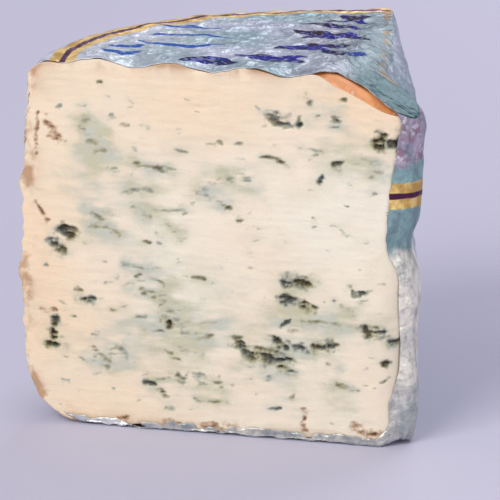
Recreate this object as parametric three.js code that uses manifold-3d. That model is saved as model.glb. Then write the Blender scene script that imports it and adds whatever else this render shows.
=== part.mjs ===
// A quarter-like wedge of a blue cheese wheel, still in its printed foil.
// Millimetres, +Z up. The wedge stands on the wheel's own flat base, with its open
// cut face towards -Y, its tip at +X and its rim at -X and +Y.
import * as THREE from "three";
import { mergeVertices } from "three/addons/utils/BufferGeometryUtils.js";
import Module from "manifold-3d";

// Driving dimensions
const WHEEL_RADIUS = 99.5; // cheese only, at the top and bottom of the rim
const WRAPPED_HEIGHT = 99; // foil base to foil top
const SECTOR_DEGREES = 80; // how much of the wheel the wedge takes
const FOIL_GAP = 0.3; // clearance between cheese and foil
const FOIL_THICKNESS = 0.5;

// The wedge's tip, seen from above
const TIP_RADIUS = 8; // rounding of the vertical edge between the two cuts
const CUT_OFFSET = 2.5; // the second cut misses the wheel's axis by this much
const FOIL_LIP_X = -5; // the foil round the tip ends here on the open face

// The wheel's profile
const RIM_BARREL = 1.8; // control-point bulge; the rim stands out by half of it
const SHOULDER_RADIUS = 7; // top of the rim
const FOOT_WIDTH = 14.5; // worn corner between rim and base, across
const FOOT_HEIGHT = 18; // and up
const FOOT_PULL = 2.5; // the foot's control point, in from the rim
const FOOT_SWELL = 4.5; // and up from the base

// The softened ends of the tip, measured from the point where the two cuts would cross
const SLUMP_RADIUS = 27; // the top sinks towards the tip inside this radius
const SLUMP_DEPTH = 13;
const SLUMP_BEND = 0.5; // the sinking curve's control point, as a share of the radius
const SLUMP_EASE = 0.25; // and as a share of the depth
const TIP_LIFT_RADIUS = 10; // the base curls up under the tip
const TIP_LIFT = 5;
const LIFT_BEND = 0.2; // the lifting curve's control point, as a share of the radius
const LIFT_EASE = 0.125; // and as a share of the lift

// The wrapped cut's upper edge leans in over the paste
const LEAN_WIDTH = 6;
const LEAN_HEIGHT = 12;
const LEAN_BEND = 0.3; // the leaning curve's control point, as a share of the height below the top

// The seam on the wrapped cut, where the upper and the lower foil flap meet
const SEAM_HEIGHT = 55;
const SEAM_WIDTH = 0.6;
const SEAM_END = 90; // distance from the tip, measured along the wrapped cut

// Fineness of the faceted surfaces
const WHEEL_SEGMENTS = 90;
const CURVE_STEPS = 6;
const TIP_STEPS = 8;

const REACH = 160; // past the rim on every side, for cutting tools
const CLEARANCE = 20; // how far a cutting shape runs above or below what it leaves whole
const sector = THREE.MathUtils.degToRad(SECTOR_DEGREES);
const alongCut = new THREE.Vector2(-Math.cos(sector), Math.sin(sector));
const outOfCut = new THREE.Vector2(Math.sin(sector), Math.cos(sector));
const foilOutside = FOIL_GAP + FOIL_THICKNESS;
const cheeseBase = foilOutside;
const cheeseTop = WRAPPED_HEIGHT - foilOutside;

const wasm = await Module();
wasm.setup();

function toSolid(geometry) {
  const bare = geometry.clone();
  bare.deleteAttribute("normal");
  bare.deleteAttribute("uv");
  const merged = mergeVertices(bare, 1e-4);
  const mesh = new wasm.Mesh({
    numProp: 3,
    vertProperties: new Float32Array(merged.attributes.position.array),
    triVerts: new Uint32Array(merged.index.array),
  });
  return new wasm.Manifold(mesh);
}

function toGeometry(solid) {
  const mesh = solid.getMesh();
  const geometry = new THREE.BufferGeometry();
  geometry.setAttribute("position", new THREE.BufferAttribute(mesh.vertProperties, mesh.numProp));
  geometry.setIndex(new THREE.BufferAttribute(mesh.triVerts, 1));
  geometry.computeVertexNormals();
  return geometry;
}

function curve(start, control, end) {
  const bend = new THREE.QuadraticBezierCurve(
    new THREE.Vector2(...start),
    new THREE.Vector2(...control),
    new THREE.Vector2(...end),
  );
  return bend.getPoints(CURVE_STEPS);
}

// Half the wheel's outline as radius and height, grown outwards by an offset.
function wheelProfile(grow) {
  const base = cheeseBase - grow;
  const top = cheeseTop + grow;
  const rim = WHEEL_RADIUS + grow;
  const footTop = cheeseBase + FOOT_HEIGHT;
  const shoulderFoot = cheeseTop - SHOULDER_RADIUS;
  const middle = (footTop + shoulderFoot) / 2;
  const footControl = [rim - FOOT_PULL, base + FOOT_SWELL];
  const runs = [
    [new THREE.Vector2(0, base)],
    curve([WHEEL_RADIUS - FOOT_WIDTH, base], footControl, [rim, footTop]),
    curve([rim, footTop], [rim + RIM_BARREL, middle], [rim, shoulderFoot]),
    curve([rim, shoulderFoot], [rim, top], [WHEEL_RADIUS - SHOULDER_RADIUS, top]),
    [new THREE.Vector2(0, top)],
  ];
  return runs.flat().filter((point, i, all) => i === 0 || point.distanceTo(all[i - 1]) > 1e-6);
}

// A round body about the tip: its top sinks and its base lifts close to the tip, and
// both run clear of the wheel further out.
function tipProfile(grow) {
  const base = cheeseBase - grow;
  const top = cheeseTop + grow;
  const liftControl = [TIP_LIFT_RADIUS * LIFT_BEND, base + TIP_LIFT * LIFT_EASE];
  const slumpControl = [SLUMP_RADIUS * SLUMP_BEND, top - SLUMP_DEPTH * SLUMP_EASE];
  const runs = [
    curve([0, base + TIP_LIFT], liftControl, [TIP_LIFT_RADIUS, base]),
    [new THREE.Vector2(2 * REACH, base - CLEARANCE)],
    [new THREE.Vector2(2 * REACH, top + CLEARANCE)],
    curve([SLUMP_RADIUS, top], slumpControl, [0, top - SLUMP_DEPTH]),
  ];
  return runs.flat();
}

function lathed(profile) {
  const lathe = new THREE.LatheGeometry(profile, WHEEL_SEGMENTS);
  return lathe.rotateX(Math.PI / 2);
}

function softenedTip(grow) {
  return toSolid(lathed(tipProfile(grow)).translate(CUT_OFFSET / Math.sin(sector), 0, 0));
}

// The wedge's outline from above: open cut along y = 0, then the rounded tip, then the
// wrapped cut going back, and straight lines well outside the rim.
function sectorPrism(grow) {
  const centreX = (CUT_OFFSET - TIP_RADIUS * (1 + Math.cos(sector))) / Math.sin(sector);
  const centre = new THREE.Vector2(centreX, TIP_RADIUS);
  const farCut = centre.clone().addScaledVector(outOfCut, TIP_RADIUS + grow);
  farCut.addScaledVector(alongCut, REACH);
  const outline = new THREE.Shape();
  outline.absarc(centre.x, centre.y, TIP_RADIUS + grow, -Math.PI / 2, Math.PI / 2 - sector, false);
  outline.lineTo(farCut.x, farCut.y);
  outline.lineTo(-REACH, farCut.y);
  outline.lineTo(-REACH, -grow);
  const settings = { depth: 2 * REACH, bevelEnabled: false, curveSegments: TIP_STEPS };
  const prism = new THREE.ExtrudeGeometry(outline, settings);
  return toSolid(prism.translate(0, 0, -REACH));
}

// A long block along the wrapped cut, rounded where the cut's upper edge leans in. It
// runs clear of the wheel's top away from that edge.
function leaningEdge(grow) {
  const top = cheeseTop + grow;
  const control = [grow, top - LEAN_HEIGHT * LEAN_BEND];
  const points = [
    [new THREE.Vector2(-2 * REACH, top + CLEARANCE)],
    [new THREE.Vector2(-2 * REACH, -CLEARANCE)],
    [new THREE.Vector2(grow + CLEARANCE, -CLEARANCE)],
    [new THREE.Vector2(grow + CLEARANCE, top - LEAN_HEIGHT - CLEARANCE)],
    curve([grow, top - LEAN_HEIGHT], control, [grow - LEAN_WIDTH, top]),
  ];
  const outline = new THREE.Shape(points.flat());
  const settings = { depth: 2 * REACH, bevelEnabled: false };
  const block = new THREE.ExtrudeGeometry(outline, settings).translate(CUT_OFFSET, 0, -REACH);
  const out = new THREE.Vector3(outOfCut.x, outOfCut.y, 0);
  const up = new THREE.Vector3(0, 0, 1);
  block.applyMatrix4(new THREE.Matrix4().makeBasis(out, up, out.clone().cross(up)));
  return toSolid(block);
}

function wedge(grow) {
  const wheel = toSolid(lathed(wheelProfile(grow)));
  return wheel.intersect(softenedTip(grow)).intersect(leaningEdge(grow)).intersect(sectorPrism(grow));
}

// Everything in front of the open cut, up to where the foil laps round the tip.
function openFace() {
  const box = new THREE.BoxGeometry(REACH, REACH, 2 * REACH);
  return toSolid(box.translate(FOIL_LIP_X - REACH / 2, -REACH / 2, 0));
}

// A thin slot along the wrapped cut, between the two flaps.
function flapSeam() {
  const depth = 2 * TIP_RADIUS;
  const box = new THREE.BoxGeometry(SEAM_END + depth, depth, SEAM_WIDTH);
  box.translate((SEAM_END - depth) / 2, 0, 0);
  box.rotateZ(Math.PI - sector);
  return toSolid(box.translate(0, 0, SEAM_HEIGHT));
}

function namedMesh(name, solid, look) {
  const mesh = new THREE.Mesh(toGeometry(solid), new THREE.MeshStandardMaterial(look));
  mesh.name = name;
  return mesh;
}

function cheese() {
  const look = { color: 0xecdcc6, roughness: 0.55, metalness: 0 };
  return namedMesh("cheese", wedge(0), look);
}

function foilWrap() {
  const shell = wedge(foilOutside).subtract(wedge(FOIL_GAP));
  const opened = shell.subtract(openFace()).subtract(flapSeam());
  const look = { color: 0xa9acae, roughness: 0.35, metalness: 0.8 };
  return namedMesh("foil_wrap", opened, look);
}

const part = new THREE.Group();
part.add(cheese(), foilWrap());

// The origin is under the middle of the wrapped wedge's box, on the surface it stands on.
const box = new THREE.Box3().setFromObject(part);
part.position.set(-(box.min.x + box.max.x) / 2, -(box.min.y + box.max.y) / 2, -box.min.z);

export default part;
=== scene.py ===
import math

import bmesh
import bpy
import numpy as np
from mathutils import Matrix, Vector


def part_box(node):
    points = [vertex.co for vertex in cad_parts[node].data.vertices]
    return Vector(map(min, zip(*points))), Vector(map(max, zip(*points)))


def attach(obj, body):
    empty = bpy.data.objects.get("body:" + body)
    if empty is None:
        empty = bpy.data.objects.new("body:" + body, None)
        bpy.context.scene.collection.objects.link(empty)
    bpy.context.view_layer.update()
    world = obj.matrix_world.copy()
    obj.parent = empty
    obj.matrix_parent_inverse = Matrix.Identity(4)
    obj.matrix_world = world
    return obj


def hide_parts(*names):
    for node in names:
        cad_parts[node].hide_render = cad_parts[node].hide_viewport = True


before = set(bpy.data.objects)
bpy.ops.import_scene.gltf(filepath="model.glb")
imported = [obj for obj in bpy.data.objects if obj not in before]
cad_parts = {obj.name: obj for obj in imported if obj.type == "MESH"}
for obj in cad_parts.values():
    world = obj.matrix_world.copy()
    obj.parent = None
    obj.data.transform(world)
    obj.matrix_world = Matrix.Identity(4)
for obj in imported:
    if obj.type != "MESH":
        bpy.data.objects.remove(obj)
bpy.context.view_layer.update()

# Lengths are in millimetres in the wedge's own frame until a mesh is made: x is 0 on the
# wheel's axis and negative towards the rim, y is 0 on the open cut and grows backwards,
# z is 0 where the foil stands.
MM = 0.001
WHEEL_RADIUS = 99.5
RIM_BULGE = 0.9
BASE = 0.8
TOP = 98.2
SHOULDER = 7.0
FOOT_WIDTH = 14.5
FOOT_HEIGHT = 18.0
FOOT_PULL = 2.5
FOOT_SWELL = 4.5
SECTOR = math.radians(80)
TIP_RADIUS = 8.0
CUT_OFFSET = 2.5
FOIL_OUT = 0.8
FOIL_SHEET = 0.15
SLUMP_RADIUS = 27.0
SLUMP_DEPTH = 13.0
LIFT_RADIUS = 10.0
LIFT = 5.0
LEAN_HEIGHT = 12.0
LEAN_AT_TIP = 7.5
LEAN_AT_RIM = 2.0
LEAN_BY_TIP = 1.8
LEAN_DEEPER = 8.0
LEAN_REACH = 26.0
SEAM_DENT = 1.7
SPARE_LEAN = 2.4
EDGE_DROP = 3.0
EDGE_WIDTH = 9.0
BAND_HALF = 3.4
BAND_LINE = 0.75
TOP_BAND_RADIUS = 92.0
FLAP_BAND_HEIGHT = 68.0
FOOT_BAND_HEIGHT = 11.0
SEAM_HEIGHT = 54.0
SCALLOP = 20.0
SCALLOP_CREST = -63.5

ALONG_CUT = np.array([-math.cos(SECTOR), math.sin(SECTOR)])
OUT_OF_CUT = np.array([math.sin(SECTOR), math.cos(SECTOR)])
TIP_CENTRE_X = (CUT_OFFSET - TIP_RADIUS * (1 + math.cos(SECTOR))) / math.sin(SECTOR)
TIP_CENTRE = np.array([TIP_CENTRE_X, TIP_RADIUS])
TIP_POINT = np.array([CUT_OFFSET / math.sin(SECTOR), 0.0])

# The wedge's frame in the row's frame
cheese_low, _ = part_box("cheese")
AXIS_X = cheese_low.x + (WHEEL_RADIUS + RIM_BULGE) * MM
ORIGIN = np.array([AXIS_X, cheese_low.y, 0.0])


def to_row(points):
    return np.asarray(points) * MM + ORIGIN


def srgb(red, green, blue):
    def linear(value):
        part = value / 255
        return part / 12.92 if part <= 0.04045 else ((part + 0.055) / 1.055) ** 2.4

    return (linear(red), linear(green), linear(blue), 1.0)


def ramp(low, high, value):
    part = np.clip((value - low) / (high - low), 0, 1)
    return part * part * (3 - 2 * part)


def through(value, places, heights):
    """A smooth curve through chosen points, level at each of them."""
    value = np.asarray(value, float)
    places, heights = np.array(places, float), np.array(heights, float)
    right = np.clip(np.searchsorted(places, value), 1, len(places) - 1)
    part = np.clip((value - places[right - 1]) / (places[right] - places[right - 1]), 0, 1)
    part = part * part * (3 - 2 * part)
    return heights[right - 1] * (1 - part) + heights[right] * part


# ---------------------------------------------------------------- noise

GRADIENT_COUNT = 4096
GRADIENTS = np.random.default_rng(11).normal(size=(GRADIENT_COUNT, 3))
GRADIENTS /= np.linalg.norm(GRADIENTS, axis=1)[:, None]


def noise(points, scale, seed=0):
    """Gradient noise from about -1 to 1 with features of one scale."""
    place = np.asarray(points, float) / scale + seed * 17.31
    cell = np.floor(place).astype(np.int64)
    inside = place - cell
    fade = inside * inside * inside * (inside * (inside * 6 - 15) + 10)
    total = np.zeros(len(place))
    for corner in np.ndindex(2, 2, 2):
        at = cell + corner
        key = (at[:, 0] * 73856093) ^ (at[:, 1] * 19349663) ^ (at[:, 2] * 83492791)
        away = inside - corner
        weight = np.prod(np.where(np.array(corner) == 1, fade, 1 - fade), axis=1)
        total += weight * np.einsum("ij,ij->i", GRADIENTS[key & (GRADIENT_COUNT - 1)], away)
    return total * 1.6


def layered(points, scale, octaves=3, seed=0):
    total = np.zeros(len(points))
    for i in range(octaves):
        total += noise(points, scale / 2**i, seed + i) / 2**i
    return total


def creases(points, scale, count, seed):
    """Sharp straight creases between nearly flat facets, as in crumpled foil."""
    draw = np.random.default_rng(seed)
    warp = noise(points, scale * 3, seed) * 0.7
    total = np.zeros(len(points))
    for _ in range(count):
        way = draw.normal(size=3)
        way /= np.linalg.norm(way)
        length = scale * draw.uniform(0.7, 1.6)
        phase = np.asarray(points) @ way / length + draw.uniform(0, 1) + warp
        total += np.abs(phase - np.round(phase)) * 2 - 0.5
    return total / math.sqrt(count)


# ---------------------------------------------------------------- the wedge's shape


def bezier(start, control, end, steps):
    t = np.linspace(0, 1, steps)[:, None]
    start, control, end = (np.array(p, float) for p in (start, control, end))
    return (1 - t) ** 2 * start + 2 * t * (1 - t) * control + t * t * end


def slump(x, y):
    """How far the top has sunk, close to the tip."""
    away = np.hypot(x - TIP_POINT[0], y - TIP_POINT[1])
    part = np.clip(1 - away / SLUMP_RADIUS, 0, 1)
    return SLUMP_DEPTH * (0.5 * part + 0.5 * part * part)


def lift(x, y):
    """How far the base curls up, close to the tip."""
    away = np.hypot(x - TIP_POINT[0], y - TIP_POINT[1])
    return LIFT * np.clip(1 - away / LIFT_RADIUS, 0, 1) ** 2


def top_edge_wave(x):
    """The cut's upper edge isn't straight: the paste and foil dip about every 20 mm."""
    x = np.asarray(x, float)
    line = np.column_stack([x, x * 0, x * 0])
    turn = (x - SCALLOP_CREST) / SCALLOP * 2 * math.pi
    wave = 0.8 * np.cos(turn) - 0.25 + 0.3 * layered(line, 4, 2, 24)
    return wave * ramp(-23, -30, x) * ramp(-100, -92, x)


def base_edge_wave(x):
    """The cut's lower edge is ragged, always above the base."""
    x = np.asarray(x, float)
    line = np.column_stack([x, x * 0, x * 0])
    return np.clip(0.2 + 0.55 * layered(line, 5, 3, 26), 0, 1.6) * ramp(-8, -14, x)


def rind_drop(x):
    """Extra drop of the cut's upper edge near the tip, where a strip of rind shows."""
    return through(x, [-28, -20, -9, -1], [0, 1.9, 2.3, 0.3])


def lean_in(points, spare=0.0):
    """Moves the wrapped cut in: most along its upper edge, a little where the flaps meet.
    What lies under the foil moves in by a spare amount more, behind the open cut."""
    out = points[:, :2] @ OUT_OF_CUT - CUT_OFFSET
    along = (points[:, :2] - TIP_CENTRE) @ ALONG_CUT
    z = points[:, 2]
    width = LEAN_AT_TIP + (LEAN_AT_RIM - LEAN_AT_TIP) * ramp(0, 90, along)
    width += LEAN_BY_TIP * np.exp(-(((along - 14) / 9) ** 2))
    width += spare * ramp(1.5, 6, points[:, 1])
    height = LEAN_HEIGHT + LEAN_DEEPER * np.exp(-(((along - 18) / 10) ** 2))
    share = np.clip((z - TOP + height) / height, 0, 1.05)
    waist = SEAM_DENT * np.exp(-(((z - SEAM_HEIGHT) / 4.5) ** 2))
    waist += 0.7 * ramp(88, 78, z) * ramp(3, 12, z)
    moved = points.copy()
    inwards = width * share**1.7 + waist * ramp(30, 8, along)
    moved[:, 0] -= ramp(-LEAN_REACH, -2, out) * inwards
    drop = EDGE_DROP * ramp(70, 25, along) * share
    moved[:, 2] -= drop * np.clip((out + EDGE_WIDTH) / EDGE_WIDTH, 0, 1.1) ** 2
    return moved


def rim_outline(grow, steps=14):
    """The wheel's profile from the middle of the base to the middle of the top."""
    rim = WHEEL_RADIUS + grow
    low, high = BASE - grow, TOP + grow
    foot_top = BASE + FOOT_HEIGHT
    shoulder = TOP - SHOULDER
    foot_control = [rim - FOOT_PULL, low + FOOT_SWELL]
    barrel_control = [rim + 2 * RIM_BULGE, (foot_top + shoulder) / 2]
    runs = [
        np.array([[0, low]]),
        bezier([WHEEL_RADIUS - FOOT_WIDTH, low], foot_control, [rim, foot_top], steps),
        bezier([rim, foot_top], barrel_control, [rim, shoulder], steps)[1:],
        bezier([rim, shoulder], [rim, high], [WHEEL_RADIUS - SHOULDER, high], steps)[1:],
        np.array([[0, high]]),
    ]
    return np.vstack(runs)


# ---------------------------------------------------------------- mould, holes and specks

# Each mark is (kind, half width, points). Points are the distance in from MARK_ORIGIN, which
# is about at the rim, and the height above the base.
MARKS = [
    ("brown", 1.0, [(4.5, 82), (6.5, 79), (8.2, 76.5)]),
    ("brown", 0.4, [(1.5, 84), (1.5, 73)]),
    ("brown", 0.6, [(4, 31), (7, 31)]),
    ("brown", 0.9, [(25, 2.5), (27, 2)]),
    ("brown", 0.8, [(38, 2), (41, 2)]),
    ("brown", 1.0, [(48, 2), (56, 2.5)]),
    ("brown", 0.8, [(74, 8), (74.5, 3.5)]),
    ("brown", 1.1, [(88, 5), (91, 3.5), (93.5, 3)]),
    ("brown", 0.7, [(2, 60), (4, 55.5)]),
    ("smear", 1.0, [(14, 83), (15, 79), (18, 75), (20, 74.5)]),
    ("streak", 0.8, [(15, 77), (18, 78)]),
    ("streak", 0.7, [(28, 72), (31, 71.5), (37, 71)]),
    ("streak", 0.6, [(27, 65), (32, 65)]),
    ("smear", 1.0, [(45, 66), (48, 68), (54, 71), (58, 70)]),
    ("smear", 0.7, [(45, 65), (48, 64), (51, 63)]),
    ("smear", 0.9, [(28, 60.5), (31, 58.5)]),
    ("smear", 0.4, [(31, 60), (36, 60), (41, 60.5)]),
    ("streak", 1.0, [(17, 59), (19, 56.5), (17, 54.5)]),
    ("smear", 0.9, [(19, 55), (23, 54)]),
    ("smear", 0.7, [(37, 56), (40, 54)]),
    ("streak", 0.6, [(71, 93), (73, 90.5)]),
    ("smear", 0.5, [(71, 79), (76, 78)]),
    ("streak", 0.6, [(61, 76), (65, 75.3), (68, 74)]),
    ("smear", 0.8, [(87, 77), (89.5, 76), (92, 74)]),
    ("streak", 0.5, [(21, 39.5), (24, 41)]),
    ("smear", 0.5, [(27, 44.6), (30.5, 44)]),
    ("streak", 0.6, [(32.6, 42), (36, 40)]),
    ("streak", 0.8, [(30, 38), (33, 37)]),
    ("smear", 0.9, [(35, 38.5), (36.5, 34), (39, 31.5), (41, 28.5), (43.5, 26), (47.5, 26.5)]),
    ("smear", 0.5, [(41, 30.5), (46, 30), (51.5, 31)]),
    ("streak", 0.5, [(44, 42.5), (47, 42.5)]),
    ("streak", 0.6, [(29, 30.5), (31, 31)]),
    ("streak", 0.4, [(31, 27.5), (36, 27.5)]),
    ("streak", 1.0, [(18.5, 20.5), (20, 18), (22, 17)]),
    ("streak", 0.8, [(22, 20), (25, 22), (27, 18)]),
    ("smear", 0.6, [(41, 23), (47, 22)]),
    ("streak", 0.7, [(35, 11.5), (37, 9.5)]),
    ("streak", 0.8, [(40, 15.5), (42, 14)]),
    ("streak", 0.9, [(45, 16), (48, 14.5)]),
    ("streak", 0.6, [(49.5, 14.5), (53, 13.5)]),
    ("streak", 0.5, [(45, 9.5), (48, 9), (52, 9.3)]),
    ("streak", 0.6, [(69, 20), (71.5, 18.5)]),
    ("streak", 0.6, [(80, 21.4), (82.5, 20.8)]),
    ("streak", 0.6, [(83, 16.7), (86, 15.5)]),
    ("streak", 0.5, [(65, 8), (68, 8.5)]),
    ("streak", 0.9, [(74.5, 33), (79, 33), (83.5, 32)]),
    ("smear", 0.4, [(83.5, 32), (88, 32.5)]),
    ("streak", 0.7, [(83.5, 37.5), (86.5, 35.7)]),
    ("hole", 1.2, [(63, 86.5), (65, 85.5), (67, 85)]),
    ("hole", 0.7, [(69.3, 86.3), (70, 85)]),
    ("hole", 0.8, [(78.7, 87), (79.4, 86.5)]),
    ("hole", 1.2, [(90, 82), (92, 81), (91, 83)]),
    ("hole", 1.0, [(94.5, 81.5), (96, 82), (95.5, 80.5)]),
    ("hole", 0.8, [(97.5, 83), (99, 83)]),
    ("hole", 0.8, [(79.5, 75), (81, 75)]),
    ("hole", 0.6, [(75.5, 70), (76.5, 71.5)]),
    ("hole", 1.3, [(9, 53), (11, 51.5)]),
    ("hole", 1.2, [(6, 49.5), (7, 48), (8.5, 47.5)]),
    ("hole", 0.9, [(15, 34.5), (16.5, 34.3)]),
    ("hole", 1.2, [(7.5, 28.3), (7, 25), (6.8, 22)]),
    ("hole", 0.8, [(36.5, 30.5), (38, 29.5)]),
    ("hole", 1.2, [(68, 43.5), (70, 43), (73, 42.5)]),
    ("hole", 0.9, [(71.5, 44), (73.5, 43.7)]),
    ("hole", 1.0, [(67.6, 39), (69.5, 37.8), (73.5, 37)]),
    ("hole", 0.6, [(75, 37), (76.5, 35.7)]),
    ("hole", 0.7, [(86, 41.5), (88.4, 41.5)]),
    ("hole", 0.6, [(67, 31.3), (69, 32.3)]),
    ("hole", 1.0, [(89, 32), (91, 31), (94.5, 31)]),
    ("hole", 0.8, [(97, 28.5), (99, 28.5)]),
    ("hole", 1.2, [(55.5, 26), (58, 24), (60, 22.8)]),
    ("hole", 2.0, [(60, 22.8), (63, 22.3), (66, 22.5), (68, 21)]),
    ("hole", 1.1, [(66, 27), (67, 25), (66, 23)]),
    ("hole", 0.9, [(71, 25.5), (74, 25)]),
    ("hole", 1.0, [(76, 25.5), (78, 26.5), (81, 26.5), (80, 28)]),
    ("hole", 0.7, [(32, 13), (33.3, 12.8)]),
    ("hole", 0.6, [(95, 23), (96, 22.5)]),
    ("haze", 4.5, [(11, 66), (17, 65)]),
    ("haze", 6.0, [(22, 71), (34, 70)]),
    ("haze", 5.0, [(16, 80), (18, 74)]),
    ("haze", 5.0, [(30, 59), (36, 57)]),
    ("haze", 5.5, [(24, 27), (34, 26)]),
    ("haze", 5.0, [(38, 34), (50, 29)]),
    ("haze", 4.0, [(50, 41), (53, 38)]),
    ("haze", 6.0, [(30, 44), (38, 41)]),
    ("haze", 5.0, [(47, 68), (56, 68)]),
    ("haze", 6.0, [(76, 88), (79, 80)]),
    ("haze", 5.0, [(85, 75), (91, 73)]),
    ("haze", 6.0, [(64, 27), (72, 24)]),
    ("haze", 5.0, [(67, 36), (76, 33)]),
    ("haze", 4.5, [(84, 33), (94, 32)]),
    ("haze", 6.0, [(40, 15), (52, 12)]),
    ("haze", 5.0, [(18, 56), (22, 54)]),
    ("haze", 5.0, [(18, 19), (27, 20)]),
    ("haze", 4.0, [(67, 14), (72, 10)]),
    ("haze", 4.0, [(82, 14), (86, 11)]),
    ("crack", 0.35, [(56, 53), (58.5, 50), (60, 45.5)]),
    ("crack", 0.3, [(86, 88), (92, 86.5), (97, 84)]),
    ("crack", 0.3, [(77, 95), (80, 91), (85, 89)]),
    ("crack", 0.3, [(36, 90), (44, 88), (49, 88.5)]),
    ("crack", 0.3, [(60, 66), (63, 62), (63.5, 58)]),
]
SPECKS = [
    (18, 93), (21, 84), (7, 86), (27, 76), (39, 81), (49, 79), (54, 79), (52, 62), (55, 59), (31, 51),
    (4, 43), (13, 37), (29, 42), (27, 40), (81, 92), (88.5, 72.5), (95.5, 58.5), (94, 63), (70, 30),
    (64.5, 16.5), (70, 12), (38, 6), (4.5, 22), (48.5, 26.7),
]
# Depth of the pits, darkness, and how far and how strongly the grey halo spreads
KINDS = {
    "hole": (1.3, 1.08, 2.8, 0.55),
    "streak": (0.4, 0.82, 3.2, 0.5),
    "smear": (0.15, 0.55, 3.4, 0.6),
    "speck": (0.25, 0.75, 2.6, 0.25),
    "brown": (0.4, 0.0, 2.0, 0.1),
    "haze": (0.0, 0.0, 1.25, 0.5),
    "crack": (0.7, 0.2, 2.0, 0.12),
}


FINE_SPECKS = 230


def distance_to(points, line):
    best = np.full(len(points), 1e9)
    for start, end in zip(line[:-1], line[1:]):
        start, end = np.array(start, float), np.array(end, float)
        run = end - start
        share = np.clip((points - start) @ run / max(run @ run, 1e-9), 0, 1)
        best = np.minimum(best, np.linalg.norm(points - start - share[:, None] * run, axis=1))
    return best


def all_marks():
    """The marks as listed, each with a strength, and the smallest ones at random."""
    draw = np.random.default_rng(5)
    marks = [(kind, half, line, draw.uniform(0.75, 1.1)) for kind, half, line in MARKS]
    for place in SPECKS:
        marks.append(("speck", 0.6, [place, (place[0] + 0.8, place[1])], 1.0))
    for _ in range(FINE_SPECKS):
        place = (draw.uniform(8, 97), draw.uniform(5, 90))
        turn = draw.normal(0, 0.3)
        length = draw.uniform(0.2, 2.6)
        end = (place[0] + length * math.cos(turn), place[1] + length * math.sin(turn))
        marks.append(("speck", draw.uniform(0.2, 0.5), [place, end], draw.uniform(0.25, 0.95)))
    return marks


def mould_fields(flat):
    """Mould, brown and halo strength and pit depth, for points as distance in and height."""
    place = np.column_stack([flat, np.zeros(len(flat))])
    wide = place * [0.38, 1, 1]
    wobble = np.column_stack([noise(place, 3.4, 3) * 1.7, noise(place, 2.8, 4) * 1.1])
    wobble += np.column_stack([noise(place, 1.1, 5) * 0.7, noise(place, 1.0, 6) * 0.5])
    crumbs = ramp(-0.6, 0.6, noise(wide, 0.9, 7) + 0.5 * noise(wide, 0.5, 9))
    clumps = ramp(-0.6, 0.5, noise(wide, 1.8, 10))
    pores = ramp(-0.6, 0.35, noise(wide, 1.2, 12) + 0.5 * noise(place, 0.7, 13))
    fibres = layered(place * [0.35, 1, 1], 2.6, 3, 8)
    mould = np.zeros(len(flat))
    brown = np.zeros(len(flat))
    halo = np.zeros(len(flat))
    depth = np.zeros(len(flat))
    for kind, half, line, strength in all_marks():
        pit, dark, spread, grey = KINDS[kind]
        away = distance_to(flat + wobble * min(half, 1.0), line)
        core = np.exp(-((away / half) ** 2) * 0.5)
        crumbly = core * (0.3 + 0.7 * crumbs) * (0.45 + 0.55 * clumps)
        if kind == "hole":
            crumbly = core * (0.38 + 0.62 * pores) * (0.7 + 0.3 * crumbs)
        mould = np.maximum(mould, dark * strength * crumbly)
        if kind == "brown":
            brown = np.maximum(brown, core * (0.3 + 0.7 * pores) * (0.5 + 0.5 * crumbs))
        halo += grey * strength * np.exp(-((away / (half * spread)) ** 2))
        depth = np.maximum(depth, pit * strength * ramp(0.25, 0.9, crumbly) * min(half, 1.3))
    halo = halo * (0.8 + 0.6 * fibres) + 0.08 * ramp(0.1, 0.9, fibres)
    return mould, brown, np.clip(halo, 0, 1.2), depth


# ---------------------------------------------------------------- meshes


def add_object(name, data):
    thing = bpy.data.objects.new(name, data)
    bpy.context.scene.collection.objects.link(thing)
    return thing


def make_mesh(name, points, faces):
    mesh = bpy.data.meshes.new(name)
    mesh.from_pydata(to_row(points).tolist(), [], faces)
    mesh.update()
    return add_object(name, mesh)


def vectors_of(thing, kind):
    flat = np.zeros(len(thing.data.vertices) * 3)
    thing.data.vertices.foreach_get(kind, flat)
    return flat.reshape(-1, 3)


def points_of(thing):
    return (vectors_of(thing, "co") - ORIGIN) / MM


def set_points(thing, points):
    thing.data.vertices.foreach_set("co", to_row(points).ravel())
    thing.data.update()


def set_attribute(thing, name, values):
    layer = thing.data.attributes.new(name, "FLOAT", "POINT")
    layer.data.foreach_set("value", np.asarray(values, np.float32))


def set_vector(thing, name, values):
    layer = thing.data.attributes.new(name, "FLOAT_VECTOR", "POINT")
    layer.data.foreach_set("vector", np.asarray(values, np.float32).ravel())


def smooth(thing):
    thing.data.polygons.foreach_set("use_smooth", [True] * len(thing.data.polygons))


# ---------------------------------------------------------------- cheese

FOOT_SPREAD = 0.9
MARK_ORIGIN = 100.0
COLUMNS = 280
ROWS = 262
SWEEP = [0, 0.015, 0.035, 0.06, 0.1, 0.16, 0.24, 0.34, 0.46, 0.6, 0.74, 0.88, 1.0]


def front_path(share):
    """Plan points along the open cut and round the tip, for shares 0 at the rim to 1."""
    straight = WHEEL_RADIUS + TIP_CENTRE[0]
    arc = math.pi - SECTOR
    run = share * (straight + arc * TIP_RADIUS)
    turn = np.clip((run - straight) / TIP_RADIUS, 0, arc)
    x = -WHEEL_RADIUS + np.minimum(run, straight) + TIP_RADIUS * np.sin(turn)
    y = TIP_RADIUS * (1 - np.cos(turn))
    return np.column_stack([x, y])


def back_path(share):
    """The same shares along the wrapped cut, from its rim end to the same last point."""
    end = TIP_CENTRE + OUT_OF_CUT * TIP_RADIUS
    start = WHEEL_RADIUS * ALONG_CUT + OUT_OF_CUT * CUT_OFFSET
    start *= WHEEL_RADIUS / np.linalg.norm(start)
    return start + (end - start) * share[:, None]


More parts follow.
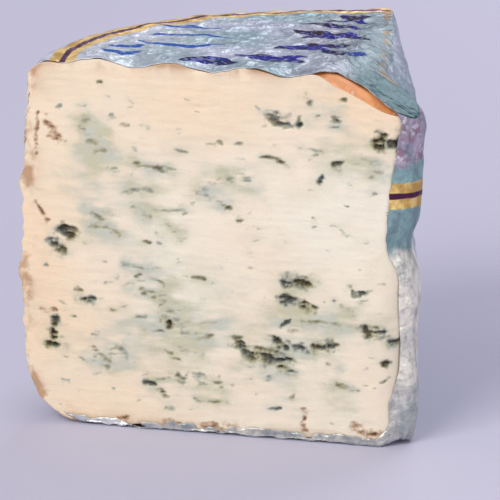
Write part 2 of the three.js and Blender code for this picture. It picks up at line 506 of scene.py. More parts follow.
def plan_between(front, back, part):
    """Sweeps from one path to the other round the wheel's axis, straight near the tip."""
    radius = np.hypot(*front.T) * (1 - part) + np.hypot(*back.T) * part
    first = np.arctan2(front[:, 1], -front[:, 0])
    last = np.arctan2(back[:, 1], -back[:, 0])
    turn = first * (1 - part) + last * part
    round_axis = np.column_stack([-radius * np.cos(turn), radius * np.sin(turn)])
    straight = front * (1 - part) + back * part
    weight = ramp(12, 26, np.minimum(np.hypot(*front.T), np.hypot(*back.T)))[:, None]
    return round_axis * weight + straight * (1 - weight)


def column_ends(radius):
    """Heights where a column of the cut starts and ends, by its distance from the axis."""
    outline = rim_outline(0, 40)
    widest = int(np.argmin(np.abs(outline[:, 1] - (BASE + FOOT_HEIGHT))))
    upper = int(np.argmin(np.abs(outline[:, 1] - (TOP - SHOULDER))))
    low = np.interp(radius, outline[: widest + 1, 0], outline[: widest + 1, 1])
    above = outline[upper:][::-1]
    high = np.interp(radius, above[:, 0], above[:, 1])
    return low, high


def ragged_rim(z):
    """The cut's rim edge, out from the wheel's own curve: two soft bumps and crumbs."""
    middle = (BASE + FOOT_HEIGHT + TOP - SHOULDER) / 2
    half = (TOP - SHOULDER - BASE - FOOT_HEIGHT) / 2
    bulge = RIM_BULGE * np.clip(1 - ((z - middle) / half) ** 2, 0, 1)
    bumps = 1.2 * np.exp(-(((z - 65) / 3) ** 2)) + 1.3 * np.exp(-(((z - 41) / 2.5) ** 2))
    place = np.column_stack([z, z * 0, z * 0])
    return bulge, 1.3 + bumps + 0.5 * layered(place, 5, 3, 21) + 0.45 * noise(place, 1.3, 22)


def cut_points():
    share = np.linspace(0, 1, COLUMNS)
    plan = front_path(share)
    low, high = column_ends(np.clip(-plan[:, 0], 0, WHEEL_RADIUS))
    low = low + lift(plan[:, 0], plan[:, 1]) + base_edge_wave(plan[:, 0])
    high = high - slump(plan[:, 0], plan[:, 1]) - rind_drop(plan[:, 0]) + top_edge_wave(plan[:, 0])
    part = np.linspace(0, 1, ROWS)[:, None]
    z = low + (high - low) * part
    x = np.broadcast_to(plan[:, 0], z.shape)
    y = np.broadcast_to(plan[:, 1], z.shape)
    return np.stack([x, y, z], axis=-1)


def loop_indices():
    """The grid's border, once round: base, tip, top, rim."""
    grid = np.arange(COLUMNS * ROWS).reshape(ROWS, COLUMNS)
    return np.concatenate([grid[0, :-1], grid[:-1, -1], grid[-1, :0:-1], grid[:0:-1, 0]])


def build_cheese():
    cut = cut_points()
    points = cut.reshape(-1, 3).copy()
    grid = np.arange(COLUMNS * ROWS).reshape(ROWS, COLUMNS)
    corners = [grid[:-1, :-1], grid[:-1, 1:], grid[1:, 1:], grid[1:, :-1]]
    faces = np.stack(corners, axis=-1).reshape(-1, 4).tolist()

    border = loop_indices()
    column = border % COLUMNS
    row = border // COLUMNS
    share = column / (COLUMNS - 1)
    front = front_path(share)
    back = back_path(share)
    on_top = row == ROWS - 1
    on_base = row == 0
    front_low, front_high = column_ends(np.clip(-front[:, 0], 0, WHEEL_RADIUS))
    before = border
    for part in SWEEP[1:]:
        plan = plan_between(front, back, part)
        z = points[border, 2].copy()
        low, high = column_ends(np.minimum(np.hypot(*plan.T), WHEEL_RADIUS))
        z += on_base * (low - front_low) + on_top * (high - front_high)
        fade = 1 - ramp(0.5, 4.5, plan[:, 1] - front[:, 1])
        x_front, y_front = front[:, 0], front[:, 1]
        z += on_top * (slump(x_front, y_front) - slump(plan[:, 0], plan[:, 1]))
        z += on_top * (1 - fade) * (rind_drop(x_front) - top_edge_wave(x_front))
        z += on_base * (lift(plan[:, 0], plan[:, 1]) - lift(x_front, y_front))
        z -= on_base * (1 - fade) * base_edge_wave(x_front)
        start = len(points)
        points = np.vstack([points, np.column_stack([plan, z])])
        after = np.arange(start, start + len(border))
        strip = [before, after, np.roll(after, -1), np.roll(before, -1)]
        faces += np.stack(strip, axis=-1).tolist()
        before = after
    faces.append(before[::-1].tolist())

    bulge, ragged = ragged_rim(points[:, 2])
    in_front = np.exp(-np.clip(points[:, 1], 0, None) / 1.5)
    radius = np.hypot(points[:, 0], points[:, 1])
    outward = ramp(WHEEL_RADIUS - 12, WHEEL_RADIUS, radius)
    grown = 1 + outward * (bulge + ragged * in_front) / np.maximum(radius, 1)
    points[:, :2] *= grown[:, None]
    foot = ramp(FOOT_HEIGHT, 5, points[:, 2])
    foot *= ramp(WHEEL_RADIUS - FOOT_WIDTH - 2, WHEEL_RADIUS - 10, radius)
    points[:, 2] -= FOOT_SPREAD * foot * in_front
    points[:, 0] -= FOOT_SPREAD * foot * in_front

    count = COLUMNS * ROWS
    flat = np.column_stack([points[:count, 0] + MARK_ORIGIN, points[:count, 2]])
    mould, brown, halo, depth = mould_fields(flat)
    place = points[:count]
    low, high = column_ends(np.clip(-place[:, 0], 0, WHEEL_RADIUS))
    nearest = np.minimum(place[:, 2] - low, high - place[:, 2])
    nearest = np.minimum(WHEEL_RADIUS + place[:, 0], nearest)
    edge = np.exp(-np.clip(nearest, 0, None) / 1.3)
    relief = 0.35 * noise(place, 26, 31) + 0.16 * layered(place, 7, 3, 32)
    drag = np.column_stack([place[:, 0] / 7, place[:, 1], place[:, 2]])
    relief += 0.07 * layered(drag, 1.6, 2, 33)
    tip_side = ramp(-4, -9, place[:, 0])
    points[:count, 1] += (depth + relief * tip_side + 0.15) * ramp(1, -3, place[:, 0])

    thing = make_mesh("cheese_wedge", lean_in(points, SPARE_LEAN), faces)
    under = np.zeros(len(points) - count)
    fields = {"mould": mould, "brown": brown, "halo": halo, "edge": edge}
    for name, values in fields.items():
        set_attribute(thing, name, np.concatenate([values, under]))
    set_attribute(thing, "rind", np.arange(len(points)) >= count)
    merge = bmesh.new()
    merge.from_mesh(thing.data)
    bmesh.ops.remove_doubles(merge, verts=merge.verts, dist=1e-6)
    bmesh.ops.recalc_face_normals(merge, faces=merge.faces)
    merge.to_mesh(thing.data)
    merge.free()
    smooth(thing)
    return thing


# ---------------------------------------------------------------- foil

FOIL_VOXEL = 0.98
SPIN_STEPS = 180
TIP_CUTS = 11
DEEPEST_DENT = 0.52
CRUSHED_FROM = 74.0
CRUSHED_ALONG = 14.0


def slice_off(body, at, outward):
    """Cuts away what lies beyond a plane, and leaves the body open there."""
    everything = body.verts[:] + body.edges[:] + body.faces[:]
    plane = {"plane_co": Vector(to_row(at)), "plane_no": Vector(outward)}
    bmesh.ops.bisect_plane(body, geom=everything, clear_outer=True, **plane)


def wrapped_solid():
    """The wedge with its foil, as one closed solid: a turned wheel with its cuts sliced off."""
    outline = rim_outline(FOIL_OUT)
    inner = outline[1:-1]
    turns = np.linspace(0, 2 * math.pi, SPIN_STEPS, endpoint=False)
    ring = np.column_stack([-np.cos(turns), np.sin(turns), np.zeros(SPIN_STEPS)])
    rings = [ring * radius + [0, 0, z] for radius, z in inner]
    points = np.vstack(rings + [[[0, 0, outline[0, 1]]], [[0, 0, outline[-1, 1]]]])
    faces = []
    for i in range(len(inner) - 1):
        for j in range(SPIN_STEPS):
            k = (j + 1) % SPIN_STEPS
            a, b = i * SPIN_STEPS, (i + 1) * SPIN_STEPS
            faces.append([a + j, b + j, b + k, a + k])
    bottom, top = len(points) - 2, len(points) - 1
    last = (len(inner) - 1) * SPIN_STEPS
    for j in range(SPIN_STEPS):
        k = (j + 1) % SPIN_STEPS
        faces.append([bottom, j, k])
        faces.append([top, last + k, last + j])
    thing = make_mesh("foil_solid", points, faces)
    body = bmesh.new()
    body.from_mesh(thing.data)
    bmesh.ops.recalc_face_normals(body, faces=body.faces)
    centre = np.array([TIP_CENTRE[0], TIP_CENTRE[1], 0])
    for turn in np.linspace(-math.pi / 2, math.pi / 2 - SECTOR, TIP_CUTS):
        out = np.array([math.cos(turn), math.sin(turn), 0])
        slice_off(body, centre + out * (TIP_RADIUS + FOIL_OUT), out)
        border = [e for e in body.edges if e.is_boundary]
        bmesh.ops.contextual_create(body, geom=border)
    body.to_mesh(thing.data)
    body.free()
    return thing


def apply_modifiers(thing):
    seen = bpy.context.evaluated_depsgraph_get()
    mesh = bpy.data.meshes.new_from_object(thing.evaluated_get(seen))
    thing.modifiers.clear()
    thing.data = mesh


def remesh(thing, voxel):
    modifier = thing.modifiers.new("remesh", "REMESH")
    modifier.mode = "VOXEL"
    modifier.voxel_size = voxel * MM
    apply_modifiers(thing)


def lap_edge(z):
    """Where the foil round the tip ends on the open cut, by height: it laps on most at
    the base and by the gold band."""
    return through(z, [0, 8, 24, 44, 62, 99], [-7, -1.2, 0.4, -1.4, -5.8, -3.2])


def front_edge(x, z):
    """How far back the foil's free edge lies, by place on the open cut."""
    place = np.column_stack([x, x * 0, z])
    rag = layered(place, 4, 3, 51)
    back = 2.4 + 0.5 * rag - 1.9 * ramp(22, 12, z)
    on_base = ramp(4, 1.5, z)
    lip = -1.3 + 1.0 * noise(place, 8, 52) + 1.2 * noise(place, 2.6, 53)
    back = back * (1 - on_base) + on_base * lip
    on_top = ramp(84, 90, z)
    shows = through(x, [-28, -20, -13, -5], [0, 5.6, 5.6, 0.5])
    back = back * (1 - on_top) + on_top * (0.1 + 0.3 * rag + shows)
    lap = ramp(lap_edge(z) - 1.8, lap_edge(z) + 1.8, x + 0.5 * rag) * (1 - on_top * (shows > 0.5))
    return back * (1 - lap) - 2.2 * lap


def open_front(thing):
    """Cuts the foil away along its ragged free edge and leaves the sheet open there."""
    points = points_of(thing)
    points[:, 1] -= front_edge(points[:, 0], points[:, 2])
    set_points(thing, points)
    body = bmesh.new()
    body.from_mesh(thing.data)
    slice_off(body, [0, 0, 0], (0, -1, 0))
    body.to_mesh(thing.data)
    body.free()
    points = points_of(thing)
    points[:, 1] += front_edge(points[:, 0], points[:, 2])
    set_points(thing, points)


def cut_coordinates(points):
    """Distance out of the wrapped cut's plane, and distance along it from the tip."""
    plan = points[:, :2]
    out = plan @ OUT_OF_CUT - CUT_OFFSET
    along = (plan - TIP_CENTRE) @ ALONG_CUT
    return out, along


def flap_bulge(z):
    """The loose flaps stand off the cheese, the lower one most near the base."""
    lower = 2.4 * np.exp(-(((z - 13) / 13) ** 2)) + 1.2 * np.exp(-(((z - 40) / 9) ** 2))
    return lower + 0.3 * np.exp(-(((z - 68) / 10) ** 2))


def crumple(thing):
    points = points_of(thing)
    normal = vectors_of(thing, "normal")
    out, along = cut_coordinates(points)
    z = points[:, 2]
    radius = np.hypot(points[:, 0], points[:, 1])
    on_flap = ramp(-3.5, -0.5, out) * ramp(0.35, 0.75, np.abs(normal[:, 0]))
    on_top = ramp(0.6, 0.9, normal[:, 2])
    on_base = ramp(0.6, 0.9, -normal[:, 2])
    on_rim = ramp(WHEEL_RADIUS - 6, WHEEL_RADIUS, radius) * (1 - on_top) * (1 - on_base)

    push = 0.4 * creases(points, 11, 6, 61) + 0.2 * creases(points, 4.5, 5, 62)
    push += 0.1 * layered(points, 3, 2, 63)
    around = np.arctan2(points[:, 1], -points[:, 0]) * WHEEL_RADIUS
    upright = np.column_stack([around, z * 0.12, z * 0])
    push += on_rim * 0.4 * creases(upright, 5, 3, 64)
    push += on_top * 0.35 * creases(points * [1, 0.6, 1], 7, 4, 70)
    folded = np.column_stack([along, z * 0.2, z * 0])
    push += on_flap * (flap_bulge(z) + 0.35 * creases(folded, 6, 3, 65))
    crushed = ramp(CRUSHED_FROM, CRUSHED_FROM + 5, z) * np.exp(-((along / CRUSHED_ALONG) ** 2))
    push += on_flap * crushed * 0.7 * creases(points, 2.8, 5, 66)
    step = ramp(-1.2, -0.8, along + 1.5 * noise(points, 30, 67)) * ramp(50, 46, z) * ramp(20, 26, z)
    push += on_flap * 0.5 * step
    by_cut = np.exp(-np.clip(points[:, 1], 0, None) / 7)
    push += on_rim * by_cut * ramp(22, 14, z) * (0.7 + 0.5 * noise(points, 8, 69))
    push *= 1 - 0.75 * on_base
    push -= 0.6 * (1 - on_base) * np.exp(-np.clip(points[:, 1], 0, None) / 3)
    push = np.maximum(push, -DEEPEST_DENT)
    points += normal * push[:, None]
    near = np.exp(-np.clip(points[:, 1], 0, None) / 5)
    points[:, 2] += on_top * near * top_edge_wave(points[:, 0])
    lip = np.exp(-np.clip(points[:, 1] + 0.8, 0, None) / 1.6)
    curl = 0.8 + 0.8 * noise(points * [1, 0, 0], 13, 68) + 1.2 * noise(points * [1, 0, 0], 2.6, 72)
    points[:, 2] += on_base * lip * np.clip(curl, 0, 2.2) * ramp(-6, -14, points[:, 0])
    points[:, 2] = np.maximum(points[:, 2], 0.0)
    points = lean_in(points)
    set_points(thing, points)


def sink_tip(thing):
    """Sinks the top and lifts the base at the tip, as on the cheese under it."""
    points = points_of(thing)
    x, y, z = points.T
    points[:, 2] -= slump(x, y) * ramp(20, TOP, z)
    points[:, 2] += lift(x, y) * ramp(30, BASE, points[:, 2])
    set_points(thing, points)


# The print's brush marks lie in clusters, widest in the middle. Each cluster is its middle,
# its marks' length, spacing and number, their turn in degrees, their half width and how
# blue they are. None forms a letter.
TOP_CLUSTERS = [
    (-25, 54, 23, 8.5, 7, 2, 2.6, 0.05),
    (-38, 20, 24, 9, 3, 4, 3.1, 0.1),
    (-58, 4.5, 19, 5, 1, -2, 2.8, 0.15),
    (-66, 38, 30, 11, 3, 9, 2.1, 0.85),
    (-80, 15, 14, 8, 2, 5, 1.6, 0.85),
    (-12, 25, 10, 7, 1, 6, 3.4, 0.4),
]
RIM_CLUSTERS = [
    (30, 48, 25, 6, 6, 4, 1.7, 0.2),
    (72, 60, 21, 6, 5, -8, 1.5, 0.8),
    (104, 38, 26, 7, 5, 6, 1.8, 0.3),
    (52, 26, 16, 5, 3, 0, 1.3, 0.6),
]
FLAP_CLUSTERS = [
    (46, 34, 24, 6, 5, 5, 1.8, 0.2),
    (74, 44, 17, 6, 4, -8, 1.4, 0.7),
    (62, 84, 20, 4.5, 3, 2, 1.5, 0.4),
]
PRINT_GROUND = (-25, 57, 14, 30)


def brush_marks(clusters, seed):
    """Each mark as its middle, length, turn, bow, half width and blueness."""
    draw = np.random.default_rng(seed)
    marks = []
    for x, y, length, spacing, count, turn, half, blue in clusters:
        for i in range(count):
            step = i - (count - 1) / 2
            share = (1 - (step / count / 0.62) ** 2) * draw.uniform(0.75, 1.1)
            middle = (x + draw.normal(0, 0.13 * length), y + step * spacing + draw.normal(0, 1.0))
            bow = draw.uniform(1.5, 4.5) * draw.choice([-1, 1])
            thick = half * draw.uniform(0.75, 1.3)
            marks.append((*middle, length * share, turn + draw.normal(0, 7), bow, thick, blue))
    return marks


def stroke_points(middle_x, middle_y, length, turn, bow):
    t = np.linspace(-0.5, 0.5, 9)
    along = np.array([math.cos(math.radians(turn)), math.sin(math.radians(turn))])
    across = np.array([-along[1], along[0]])
    sway = bow * (1 - (2 * t) ** 2) + 0.3 * bow * np.sin(t * 4 * math.pi)
    return np.array([middle_x, middle_y]) + np.outer(t * length, along) + np.outer(sway, across)


def ink_field(flat, strokes):
    """Distance into the nearest brush mark, in millimetres, and that mark's blueness."""
    best = np.full(len(flat), -50.0)
    tint = np.zeros(len(flat))
    place = np.column_stack([flat, np.zeros(len(flat))])
    wobble = 0.45 * layered(place, 5, 3, 71)
    for x, y, length, turn, bow, half, blue in strokes:
        line = stroke_points(x, y, length, turn, bow)
        near = np.linalg.norm(flat - [x, y], axis=1) < length / 2 + abs(bow) + 6
        if not near.any():
            continue
        away = distance_to(flat[near], line)
        ends = np.linalg.norm(flat[near] - [x, y], axis=1) / (length / 2)
        swell = half * (1.15 - 0.85 * np.clip(ends, 0, 1.2) ** 2)
        inside = swell + wobble[near] - away
        tint[near] = np.where(inside > best[near], blue, tint[near])
        best[near] = np.maximum(best[near], inside)
    return best, tint


def print_foil(thing):
    """Stores where the print's marks and regions are on the flat of each face, and where shade is
    painted on the top: by the wrapped cut's edge and in the sunken tip.
    """
    points = points_of(thing)
    normal = vectors_of(thing, "normal")
    out, along = cut_coordinates(points)
    around = np.arctan2(points[:, 1], -points[:, 0]) * WHEEL_RADIUS
    radius = np.hypot(points[:, 0], points[:, 1])
    top = ramp(0.45, 0.6, normal[:, 2]) * (points[:, 2] > 60)
    base = ramp(0.45, 0.6, -normal[:, 2])
    middle_x, middle_y, half_x, half_y = PRINT_GROUND
    from_middle = np.hypot((points[:, 0] - middle_x) / half_x, (points[:, 1] - middle_y) / half_y)
    ground = top * ramp(1.1, 0.7, from_middle + 0.25 * noise(points, 9, 73))
    from_trim = out + 1.2 + 0.8 * noise(points, 7, 74)
    trim = np.exp(-((from_trim / 1.1) ** 2)) * ramp(82, 88, points[:, 2]) * ramp(0, 10, along)
    flap = (1 - top) * (1 - base) * ((radius < WHEEL_RADIUS - 2.5) | (out > -1))
    rim = (1 - top) * (1 - base) * (1 - flap)
    on_top = ink_field(points[:, :2], brush_marks(TOP_CLUSTERS, 81))
    on_rim = ink_field(np.column_stack([around, points[:, 2]]), brush_marks(RIM_CLUSTERS, 82))
    on_flap = ink_field(np.column_stack([along, points[:, 2]]), brush_marks(FLAP_CLUSTERS, 83))
    ink, tint = np.where(top > 0.5, on_top, np.where(flap > 0.5, on_flap, on_rim))
    ink = np.where(base > 0.5, -5.0, ink)
    band = np.where(top > 0.5, np.abs(radius - TOP_BAND_RADIUS), 50)
    band_at = FLAP_BAND_HEIGHT + 0.02 * along
    band = np.where(flap > 0.5, np.abs(points[:, 2] - band_at), band)
    band = np.where(rim > 0.5, np.abs(points[:, 2] - FOOT_BAND_HEIGHT), band)
    fields = {
        "ink": np.clip(ink, -5, 5),
        "blue": tint,
        "band": np.clip(band, 0, 20),
        "ground": ground,
        "on_top": top,
        # Where shade is painted on the top, close to the wrapped cut's edge.
        "top_edge_shade": top * ramp(-20, -6, out + 2 * noise(points, 11, 75)),
        "trim": trim,
        # How far the top has sunk at the tip; the material paints shade there.
        "sunk": top * slump(points[:, 0], points[:, 1]) / SLUMP_DEPTH,
        "is_flap": flap,
        "is_base": base,
    }
    for name, values in fields.items():
        set_attribute(thing, name, values)
    set_vector(thing, "flat", points * MM)


def build_foil():
    solid = wrapped_solid()
    solid.name = "foil_sheet"
    remesh(solid, FOIL_VOXEL)
    sink_tip(solid)
    open_front(solid)
    print_foil(solid)
    crumple(solid)
    smooth(solid)
    return solid


def thicken(thing):
    modifier = thing.modifiers.new("sheet", "SOLIDIFY")
    modifier.thickness = FOIL_SHEET * MM
    modifier.offset = -1
    modifier.material_offset = 1
    modifier.material_offset_rim = 1
    apply_modifiers(thing)


# ---------------------------------------------------------------- materials


class Nodes:
    """Short names for building one material's node tree."""

    def __init__(self, name):
        self.material = bpy.data.materials.new(name)
        self.material.use_nodes = True
        self.tree = self.material.node_tree
        self.shader = self.tree.nodes["Principled BSDF"]

    def put(self, value, socket):
        if isinstance(value, bpy.types.NodeSocket):
            self.tree.links.new(value, socket)
        else:
            socket.default_value = value

    def look(self, name, value):
        self.put(value, self.shader.inputs[name])

    def add(self, kind):
        return self.tree.nodes.new("ShaderNode" + kind)

    def fill(self, node, sockets):
        for name, value in sockets.items():
            self.put(value, node.inputs[name])
        return node.outputs

    def attribute(self, name, kind="Fac"):
        node = self.add("Attribute")
        node.attribute_name = name
        return node.outputs[kind]

    def place(self):
        return self.add("TexCoord").outputs["Object"]

    def split(self, where):
        return self.fill(self.add("SeparateXYZ"), {0: where})

    def math(self, operation, first, second=0.0, clamp=False):
        node = self.add("Math")
        node.operation = operation
        node.use_clamp = clamp
        return self.fill(node, {0: first, 1: second})[0]

    def times(self, first, second):
        return self.math("MULTIPLY", first, second)

    def plus(self, first, second, clamp=False):
        return self.math("ADD", first, second, clamp)

    def minus(self, first, second):
        return self.math("SUBTRACT", first, second)

    def swing(self, value, size):
        """A noise value centred on zero and scaled."""
        return self.times(self.minus(value, 0.5), size)

    def noise(self, where, size, detail=3.0, rough=0.55, stretch=None):
        if stretch:
            where = self.fill(self.add("Mapping"), {"Scale": stretch, "Vector": where})[0]
        sockets = {"Scale": 1 / (size * MM), "Detail": detail, "Roughness": rough, "Vector": where}
        return self.fill(self.add("TexNoise"), sockets)["Fac"]

    def facets(self, where, size):
        """Cells with sharp borders, stirred so that they look crumpled rather than round."""
        spread = {"Scale": 1 / (1.8 * size * MM), "Vector": where}
        stir = self.fill(self.add("TexNoise"), spread)["Color"]
        centred = self.vector("SUBTRACT", stir, (0.5, 0.5, 0.5))
        moved = self.vector("ADD", where, self.vector("MULTIPLY", centred, (2.4 * size * MM,) * 3))
        cells = {"Scale": 1 / (size * MM), "Vector": moved}
        return self.fill(self.add("TexVoronoi"), cells)["Distance"]

    def vector(self, operation, first, second):
        node = self.add("VectorMath")
        node.operation = operation
        return self.fill(node, {0: first, 1: second})[0]

    def rise(self, value, low, high):
        node = self.add("MapRange")
        node.interpolation_type = "SMOOTHSTEP"
        return self.fill(node, {"From Min": low, "From Max": high, "Value": value})["Result"]

    def mix(self, share, first, second):
        node = self.add("Mix")
        node.data_type = "RGBA"
        return self.fill(node, {0: share, 6: first, 7: second})[2]

    def bump(self, height, distance, strength, normal=None):
        sockets = {"Distance": distance * MM, "Strength": strength, "Height": height}
        if normal is not None:
            sockets["Normal"] = normal
        return self.fill(self.add("Bump"), sockets)["Normal"]


def cheese_material():
    n = Nodes("blue_cheese")
    where = n.place()
    across, _, height = n.split(where)
    fine = n.noise(where, 0.6, 3)
    mottle = n.noise(where, 12, 3)
    soft = n.noise(where, 38, 2)
    rim_side = n.rise(across, AXIS_X - 62 * MM, AXIS_X - 98 * MM)
    low_side = n.rise(height, 36 * MM, 4 * MM)
    high_side = n.rise(height, 70 * MM, 94 * MM)
    low_side = n.times(low_side, n.rise(across, AXIS_X - 30 * MM, AXIS_X - 75 * MM))
    outer = n.math("MAXIMUM", n.math("MAXIMUM", rim_side, low_side), high_side)
    patchy = n.times(n.rise(soft, 0.35, 0.7), 0.4)
    warmth = n.plus(n.times(outer, 0.65), patchy, True)
    paste = n.mix(warmth, srgb(243, 236, 214), srgb(244, 218, 182))
    paste = n.mix(n.times(n.rise(mottle, 0.45, 0.75), 0.4), paste, srgb(226, 217, 190))
    speckle = n.swing(fine, 0.3)
    halo = n.plus(n.attribute("halo"), speckle, True)
    hue = n.rise(n.noise(where, 9, 2), 0.38, 0.62)
    grey = n.mix(hue, srgb(190, 190, 156), srgb(188, 196, 180))
    paste = n.mix(n.times(n.rise(halo, 0.0, 1.1), 0.78), paste, grey)
    border = n.times(n.attribute("edge"), n.rise(n.noise(where, 8, 4), 0.42, 0.58))
    paste = n.mix(n.times(border, 0.85), paste, srgb(184, 142, 102))
    mould = n.plus(n.attribute("mould"), n.times(speckle, 0.6))
    tone = n.rise(n.noise(where, 7, 2), 0.4, 0.6)
    pale = n.mix(tone, srgb(152, 148, 110), srgb(146, 152, 138))
    veined = n.mix(n.times(n.rise(mould, 0.08, 0.45), 0.85), paste, pale)
    middling = n.mix(tone, srgb(98, 88, 60), srgb(92, 96, 88))
    veined = n.mix(n.rise(mould, 0.38, 0.7), veined, middling)
    veined = n.mix(n.rise(mould, 0.66, 1.05), veined, srgb(42, 34, 26))
    brown = n.plus(n.attribute("brown"), speckle)
    veined = n.mix(n.times(n.rise(brown, 0.1, 0.6), 0.75), veined, srgb(164, 118, 78))
    veined = n.mix(n.rise(brown, 0.5, 1.0), veined, srgb(92, 64, 44))
    blotch = n.noise(where, 3.2, 4)
    rind_tone = n.mix(n.rise(blotch, 0.35, 0.65), srgb(248, 172, 108), srgb(224, 148, 92))
    rind_tone = n.mix(n.times(n.rise(blotch, 0.6, 0.72), 0.7), rind_tone, srgb(250, 214, 172))
    rind = n.attribute("rind")
    colour = n.mix(n.rise(rind, 0.1, 0.4), veined, srgb(150, 96, 54))
    colour = n.mix(n.rise(rind, 0.35, 0.75), colour, rind_tone)
    n.look("Base Color", colour)
    n.look("Roughness", n.plus(n.times(mottle, 0.25), 0.38))
    n.look("Specular IOR Level", 0.4)
    n.look("Subsurface Weight", 0.2)
    n.look("Subsurface Radius", (1.0, 0.7, 0.4))
    n.look("Subsurface Scale", 1.0 * MM)
    drag = n.noise(where, 1.3, 3, stretch=(0.25, 1, 1))
    rough = n.bump(drag, 0.3, 0.4)
    n.look("Normal", n.bump(fine, 0.25, 0.45, rough))
    return n.material


# The print round the tip, from the base up: the height where each tint starts.
FLAP_ZONES = [
    (16, (255, 250, 230)),
    (53, (150, 184, 180)),
    (77, (196, 184, 200)),
]


def printed_foil():
    n = Nodes("printed_foil")
    flat = n.attribute("flat", "Vector")
    wash = n.noise(flat, 26, 4)
    mottle = n.noise(flat, 5, 4)
    fine = n.noise(flat, 0.8, 3)
    streaks = n.noise(flat, 1.6, 3, stretch=(0.3, 1, 1))
    wrinkle = n.facets(flat, 4.5)
    pleats = n.facets(flat, 1.7)
    silver = n.mix(n.rise(mottle, 0.3, 0.7), srgb(214, 219, 230), srgb(172, 182, 197))
    teal = n.mix(n.rise(mottle, 0.3, 0.7), srgb(126, 158, 162), srgb(166, 192, 195))
    colour = n.mix(n.rise(wash, 0.38, 0.64), silver, teal)
    across, inward, height = n.split(flat)
    zone = n.mix(n.rise(mottle, 0.35, 0.65), srgb(228, 224, 212), srgb(192, 192, 186))
    stir = n.minus(n.noise(flat, 7, 4), 0.5)
    level = n.plus(height, n.times(stir, 14 * MM))
    for start, tint in FLAP_ZONES:
        share = n.rise(level, (start - 2) * MM, (start + 2) * MM)
        zone = n.mix(share, zone, srgb(*tint))
    crushed = n.rise(level, (CRUSHED_FROM + 1) * MM, (CRUSHED_FROM + 5) * MM)
    # The crushed foil at the tip: a pink tint of its own, with painted glints on the near-white
    # facets and painted shade in the pink-dark creases, both set by the pleats that also drive the
    # bump.
    pink_glints_and_shade = n.mix(n.rise(pleats, 0.25, 0.6), srgb(232, 226, 232), srgb(176, 138, 152))
    zone = n.mix(n.times(crushed, n.rise(mottle, 0.4, 0.6)), zone, pink_glints_and_shade)
    folds = n.noise(flat, 3, 4, stretch=(1, 1, 0.22))
    shaded = n.mix(n.rise(folds, 0.4, 0.68), zone, srgb(118, 140, 146))
    depth = n.plus(inward, n.swing(wash, 60 * MM))
    near_tip = n.times(n.attribute("is_flap"), n.rise(depth, 34 * MM, 4 * MM))
    colour = n.mix(near_tip, colour, n.mix(0.55, zone, shaded))
    colour = n.mix(n.attribute("is_base"), colour, srgb(186, 188, 188))
    colour = n.mix(n.times(n.attribute("ground"), 0.4), colour, srgb(196, 186, 194))
    # Painted reflection: the foil is painted paler towards the rim side, from about 48 mm out from
    # the axis.
    rim_side_painted_light = n.rise(across, -48 * MM, -92 * MM)
    colour = n.mix(n.times(rim_side_painted_light, 0.65), colour, srgb(238, 240, 244))
    # Painted shade: the top is painted darker towards the tip.
    tip_side_painted_shade = n.rise(across, -52 * MM, -14 * MM)
    on_top = n.times(n.attribute("on_top"), tip_side_painted_shade)
    colour = n.mix(n.times(on_top, 0.6), colour, srgb(104, 112, 116))
    # Painted shade: the top is painted grey-teal where it rolls over towards the wrapped cut.
    edge_shade_tint = n.mix(n.rise(mottle, 0.4, 0.6), srgb(104, 130, 132), srgb(140, 158, 162))
    colour = n.mix(n.times(n.attribute("top_edge_shade"), 0.85), colour, edge_shade_tint)
    # Painted shade: the sunken top at the tip is painted dark teal.
    tip_hollow_shade = n.mix(n.rise(mottle, 0.4, 0.6), srgb(58, 92, 95), srgb(84, 112, 116))
    colour = n.mix(n.rise(n.attribute("sunk"), 0.03, 0.3), colour, tip_hollow_shade)
    # Painted shade: darker along the fine ripples and the crumple's facet borders, the same fields
    # that drive the bump.
    colour = n.mix(n.times(n.rise(streaks, 0.52, 0.68), 0.3), colour, srgb(92, 104, 120))
    colour = n.mix(n.times(n.rise(wrinkle, 0.5, 0.75), 0.25), colour, srgb(96, 106, 118))
    ink = n.plus(n.attribute("ink"), n.swing(fine, 1.3))
    ink = n.plus(ink, n.swing(streaks, 1.4))
    inked = n.rise(ink, -0.15, 0.35)
    dye_and_glints = n.mix(n.rise(n.noise(flat, 9, 2), 0.42, 0.58), srgb(34, 16, 132), srgb(16, 18, 46))
    dye_and_glints = n.mix(n.rise(n.noise(flat, 5, 2), 0.5, 0.58), dye_and_glints, srgb(44, 20, 36))
    dye_and_glints = n.mix(n.times(n.attribute("blue"), 0.85), dye_and_glints, srgb(36, 100, 182))
    # Painted glints: pale flecks on the ink where the pleats rise.
    dye_and_glints = n.mix(n.times(n.rise(pleats, 0.62, 0.72), 0.4), dye_and_glints, srgb(176, 182, 216))
    colour = n.mix(inked, colour, dye_and_glints)
    gold = n.mix(n.rise(mottle, 0.4, 0.6), srgb(255, 220, 140), srgb(204, 164, 92))
    gilt = n.times(n.attribute("trim"), n.rise(n.noise(flat, 8, 4), 0.35, 0.6))
    colour = n.mix(n.times(n.rise(gilt, 0.1, 0.8), 0.8), colour, srgb(150, 118, 78))
    band = n.plus(n.attribute("band"), n.swing(mottle, 0.9))
    in_band = n.minus(1.0, n.rise(band, BAND_HALF - 0.25, BAND_HALF + 0.25))
    colour = n.mix(in_band, colour, gold)
    in_line = n.minus(1.0, n.rise(band, BAND_LINE - 0.15, BAND_LINE + 0.2))
    colour = n.mix(in_line, colour, srgb(84, 40, 72))
    n.look("Base Color", colour)
    n.look("Metallic", n.times(n.minus(1.0, inked), 0.55))
    n.look("Specular IOR Level", 0.15)
    gloss = n.plus(n.times(mottle, 0.3), 0.24)
    n.look("Roughness", n.plus(gloss, n.times(inked, 0.4)))
    ripple = n.bump(streaks, 0.3, 0.3, n.bump(wrinkle, 1.1, 0.5, n.bump(pleats, 0.4, 0.45)))
    n.look("Normal", n.bump(fine, 0.15, 0.5, ripple))
    return n.material


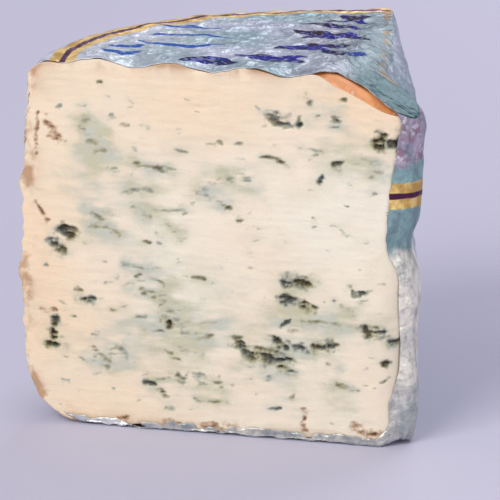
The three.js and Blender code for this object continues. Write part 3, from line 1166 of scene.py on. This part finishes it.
def plain_foil():
    n = Nodes("foil_inside")
    flat = n.attribute("flat", "Vector")
    mottle = n.noise(flat, 3, 3)
    n.look("Base Color", n.mix(mottle, srgb(206, 207, 206), srgb(178, 180, 182)))
    n.look("Metallic", 0.85)
    n.look("Roughness", n.plus(n.times(mottle, 0.2), 0.28))
    n.look("Normal", n.bump(mottle, 0.3, 0.5))
    return n.material


# ---------------------------------------------------------------- stage, light, camera

CAMERA_AZIMUTH = math.radians(7.61)
CAMERA_ELEVATION = math.radians(15.54)
CAMERA_ROLL = math.radians(1.96)
CAMERA_DISTANCE = 700
CAMERA_LENS = 194.8
CAMERA_TARGET = (-41.6, 0, 51.1)
FLOOR_SIZE = 8


def set_camera():
    az, el, roll = CAMERA_AZIMUTH, CAMERA_ELEVATION, CAMERA_ROLL
    back = Vector((math.sin(az) * math.cos(el), -math.cos(az) * math.cos(el), math.sin(el)))
    level = (-back).cross(Vector((0, 0, 1))).normalized()
    upright = level.cross(-back)
    right = level * math.cos(roll) + upright * math.sin(roll)
    up = upright * math.cos(roll) - level * math.sin(roll)
    data = bpy.data.cameras.new("camera")
    data.sensor_width = 36
    data.lens = CAMERA_LENS
    data.clip_start = 0.01
    camera = add_object("camera", data)
    turned = Matrix((right, up, back)).transposed().to_4x4()
    eye = Vector(to_row(CAMERA_TARGET)) + back * CAMERA_DISTANCE * MM
    camera.matrix_world = Matrix.Translation(eye) @ turned
    bpy.context.scene.camera = camera


def set_floor():
    bpy.ops.mesh.primitive_plane_add(size=FLOOR_SIZE)
    floor = bpy.context.object
    floor.name = "floor"
    n = Nodes("floor_paint")
    n.look("Base Color", srgb(199, 197, 212))
    n.look("Roughness", 0.8)
    floor.data.materials.append(n.material)


def soft_light(name, place, size, power, colour):
    data = bpy.data.lights.new(name, "AREA")
    data.size = size
    data.energy = power
    data.color = colour
    light = add_object(name, data)
    light.location = place
    aim = Vector((0, 0, 0.05)) - Vector(place)
    light.rotation_euler = aim.to_track_quat("-Z", "Y").to_euler()


def set_light():
    world = bpy.data.worlds.new("studio")
    bpy.context.scene.world = world
    world.use_nodes = True
    backdrop = world.node_tree.nodes["Background"].inputs
    backdrop[0].default_value = srgb(206, 204, 222)
    backdrop[1].default_value = 0.7
    soft_light("key", (-0.55, -1.0, 0.9), 0.7, 12.2, (1, 0.98, 0.95))
    soft_light("fill", (0.9, -0.9, 0.5), 0.9, 2.5, (0.96, 0.97, 1))
    soft_light("back", (0.3, 1.0, 0.9), 0.8, 6, (0.97, 0.97, 1))
    bpy.context.scene.view_settings.view_transform = "Standard"


# ---------------------------------------------------------------- the scene

set_camera()
set_floor()
set_light()

cheese = build_cheese()
cheese.data.materials.append(cheese_material())
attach(cheese, "root")
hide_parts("cheese")

foil = build_foil()
foil.data.materials.append(printed_foil())
foil.data.materials.append(plain_foil())
thicken(foil)
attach(foil, "root")
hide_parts("foil_wrap")
